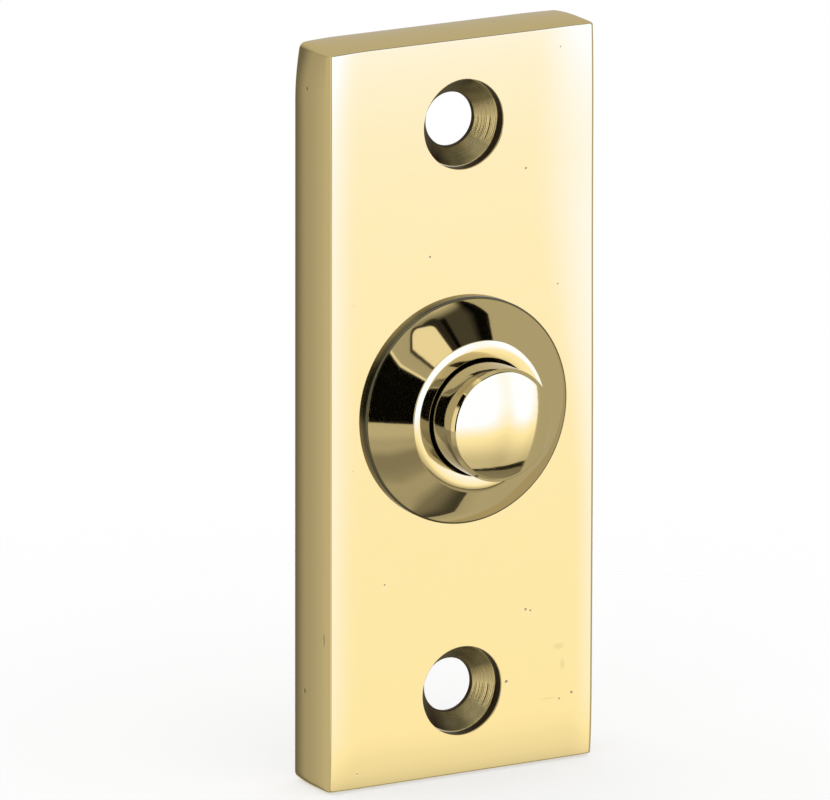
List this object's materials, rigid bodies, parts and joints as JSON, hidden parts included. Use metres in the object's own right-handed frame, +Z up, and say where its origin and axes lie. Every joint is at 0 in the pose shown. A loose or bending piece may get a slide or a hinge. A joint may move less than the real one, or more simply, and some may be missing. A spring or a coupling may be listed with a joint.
{
  "type": "doorbell push button",
  "caption": "Surface doorbell push: oblong brass plate with countersunk fixing holes, turned collar and a sprung domed push over a contact block.",
  "frame": {"origin": "centre of the plate's back, in the plane of the wall", "axes": "+Z up the plate, +X to the right as a caller sees it, +Y into the wall; the push stands out towards -Y and is pressed towards +Y"},
  "size_m": [0.0334, 0.0176, 0.083],
  "materials": {
    "plate_brass": "polished casting with fine scratches, small pits and tarnish in the fixing holes",
    "collar_brass": "turned and polished",
    "push_brass": "turned and polished, worn on the crown",
    "nylon": "moulded, natural",
    "spring_steel": "drawn wire",
    "fibre": "vulcanised fibre",
    "phenolic": "moulded, dark brown",
    "phosphor_bronze": "rolled strip",
    "contact_brass": "rolled strip",
    "silver": "dull silver",
    "terminal_brass": "turned, unpolished",
    "screw_steel": "zinc plated"
  },
  "bodies": {
    "plate": {"face_plate": "plate_brass", "collar": "collar_brass", "return_spring": "spring_steel", "spring_seat": "fibre", "contact_block": "phenolic", "moving_contact": "phosphor_bronze", "fixed_contact": "contact_brass", "moving_silver": "silver", "fixed_silver": "silver", "terminal_insert_upper": "terminal_brass", "terminal_washer_upper": "terminal_brass", "terminal_screw_upper": "terminal_brass", "terminal_insert_lower": "terminal_brass", "terminal_washer_lower": "terminal_brass", "terminal_screw_lower": "terminal_brass", "moving_rivet": "terminal_brass", "fixed_rivet": "terminal_brass", "block_screw_upper": "screw_steel", "block_screw_lower": "screw_steel"},
    "push": {"push_button": "push_brass", "button_tip": "nylon"}
  },
  "joints": [
    {"name": "button_press", "type": "slide", "parent": "plate", "child": "push", "axis": [0, 1, 0], "range_m": [0, 0.0016], "stiffness_N_per_m": 500, "springref_m": -0.003, "deforming": ["return_spring", "moving_contact", "moving_silver"]}
  ]
}
